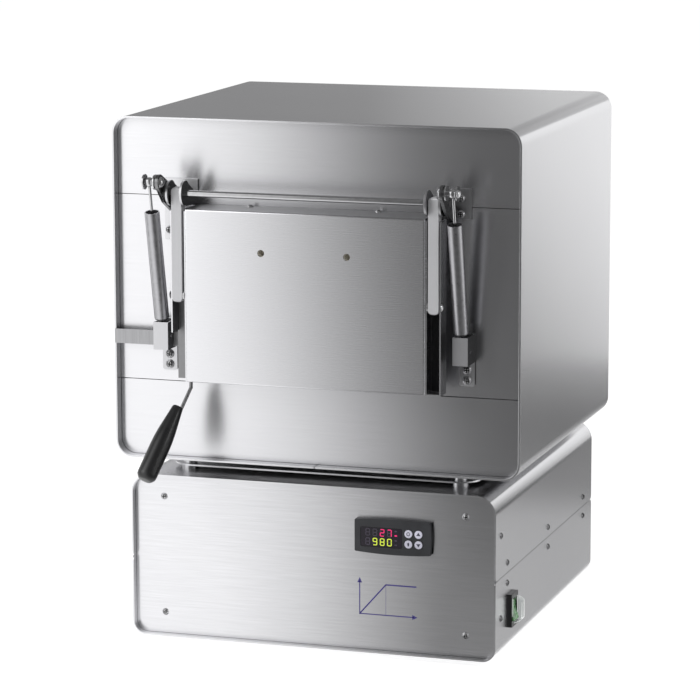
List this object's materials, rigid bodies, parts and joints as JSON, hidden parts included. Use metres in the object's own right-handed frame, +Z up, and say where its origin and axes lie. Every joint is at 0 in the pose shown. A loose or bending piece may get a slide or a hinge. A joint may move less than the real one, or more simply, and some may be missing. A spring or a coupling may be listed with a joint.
{
  "type": "jewellery kiln",
  "caption": "Bench kiln with a brushed steel oven housing, spring balanced lift-up door with side struts and black grip, standing on posts above a control cabinet.",
  "frame": {"origin": "centre of the whole object's footprint on the table, under the rubber feet", "axes": "+X to the right as seen from the front, +Y from the door towards the back, +Z up"},
  "size_m": [0.388, 0.436, 0.4898],
  "materials": {
    "housing_steel": "brushed",
    "panel_steel": "brushed",
    "bracket_steel": "brushed",
    "door_steel": "brushed",
    "lift_steel": "brushed",
    "plated_steel": "polished",
    "spring_steel": "satin",
    "heater_wire": "matte",
    "ceramic_fibre": "matte",
    "fired_ceramic": "matte",
    "black_plastic": "gloss",
    "bezel_plastic": "satin",
    "window_plastic": "gloss",
    "key_plastic": "satin",
    "green_plastic": "gloss",
    "clear_plastic": "clear",
    "cream_plastic": "satin",
    "foot_rubber": "matte"
  },
  "bodies": {
    "cabinet": {"outer_wrapper": "housing_steel", "front_panel_top": "panel_steel", "front_panel_middle": "panel_steel", "front_panel_bottom": "panel_steel", "upper_back_panel": "panel_steel", "muffle": "fired_ceramic", "heating_coils": "heater_wire", "insulation_boards": "ceramic_fibre", "insulation_rear": "ceramic_fibre", "mouth_collar": "ceramic_fibre", "thermocouple": "fired_ceramic", "flue_tube": "fired_ceramic", "spacers": "plated_steel", "heat_shield": "housing_steel", "cable_conduit": "black_plastic", "base_cover": "housing_steel", "base_tray": "housing_steel", "base_front_panel": "panel_steel", "base_rear_panel": "panel_steel", "seam_straps": "housing_steel", "base_screws": "plated_steel", "feet": "foot_rubber", "controller_body": "bezel_plastic", "controller_window": "window_plastic", "switch_frame": "black_plastic", "switch_cover": "clear_plastic", "power_inlet": "black_plastic", "fuse_holder": "black_plastic", "power_relay": "black_plastic", "terminal_block": "cream_plastic", "pivot_bracket_left": "bracket_steel", "pivot_bracket_right": "bracket_steel", "strut_bracket_left": "bracket_steel", "strut_bracket_right": "bracket_steel", "strut_pins": "plated_steel", "bracket_screws": "plated_steel", "door_switch_strip": "bracket_steel"},
    "lift_frame": {"pivot_shaft": "plated_steel", "lift_arms": "lift_steel", "cranks": "lift_steel", "link_hardware": "plated_steel", "door_pins": "plated_steel"},
    "door": {"door_shell": "door_steel", "door_channel_left": "door_steel", "door_channel_right": "door_steel", "door_insulation": "ceramic_fibre", "door_screws": "plated_steel", "handle_rod": "lift_steel", "handle_grip": "black_plastic"},
    "left_link": {"hook_rod_left": "plated_steel", "spring_left": "spring_steel"},
    "right_link": {"hook_rod_right": "plated_steel", "spring_right": "spring_steel"},
    "left_sleeve": {"sleeve_left": "plated_steel"},
    "right_sleeve": {"sleeve_right": "plated_steel"},
    "menu_key": {"key_menu": "key_plastic"},
    "set_key": {"key_set": "key_plastic"},
    "down_key": {"key_down": "key_plastic"},
    "up_key": {"key_up": "key_plastic"},
    "rocker": {"power_rocker": "green_plastic"}
  },
  "joints": [
    {"name": "door_lift", "type": "hinge", "parent": "cabinet", "child": "lift_frame", "pos_m": [0, -0.15481, 0.4241], "axis": [-1, 0, 0], "range_deg": [0, 95]},
    {"name": "door_tilt", "type": "hinge", "parent": "lift_frame", "child": "door", "pos_m": [0, -0.15481, 0.3308], "axis": [-1, 0, 0], "range_deg": [-5.2, 0.2]},
    {"name": "left_spring_swing", "type": "hinge", "parent": "lift_frame", "child": "left_link", "pos_m": [-0.1424, -0.17101, 0.4353], "axis": [-1, 0, 0], "range_deg": [-84.5, 0.5]},
    {"name": "right_spring_swing", "type": "hinge", "parent": "lift_frame", "child": "right_link", "pos_m": [0.1424, -0.17101, 0.4353], "axis": [-1, 0, 0], "range_deg": [-84.5, 0.5]},
    {"name": "left_sleeve_slide", "type": "slide", "parent": "left_link", "child": "left_sleeve", "axis": [0, -0.2122, 0.9772], "range_m": [0, 0.006]},
    {"name": "right_sleeve_slide", "type": "slide", "parent": "right_link", "child": "right_sleeve", "axis": [0, -0.2122, 0.9772], "range_m": [0, 0.006]},
    {"name": "menu_press", "type": "slide", "parent": "cabinet", "child": "menu_key", "axis": [0, 1, 0], "range_m": [0, 0.0007], "stiffness_N_per_m": 60},
    {"name": "set_press", "type": "slide", "parent": "cabinet", "child": "set_key", "axis": [0, 1, 0], "range_m": [0, 0.0007], "stiffness_N_per_m": 60},
    {"name": "down_press", "type": "slide", "parent": "cabinet", "child": "down_key", "axis": [0, 1, 0], "range_m": [0, 0.0007], "stiffness_N_per_m": 60},
    {"name": "up_press", "type": "slide", "parent": "cabinet", "child": "up_key", "axis": [0, 1, 0], "range_m": [0, 0.0007], "stiffness_N_per_m": 60},
    {"name": "power_rock", "type": "hinge", "parent": "cabinet", "child": "rocker", "pos_m": [0.17615, -0.09071, 0.0442], "axis": [0, 1, 0], "range_deg": [0, 18]}
  ],
  "couplings": [
    {"joint": "door_tilt", "follows": "door_lift", "ratio": -0.052632},
    {"joint": "left_spring_swing", "follows": "door_lift", "ratio": -0.8828},
    {"joint": "right_spring_swing", "follows": "door_lift", "ratio": -0.8828}
  ]
}
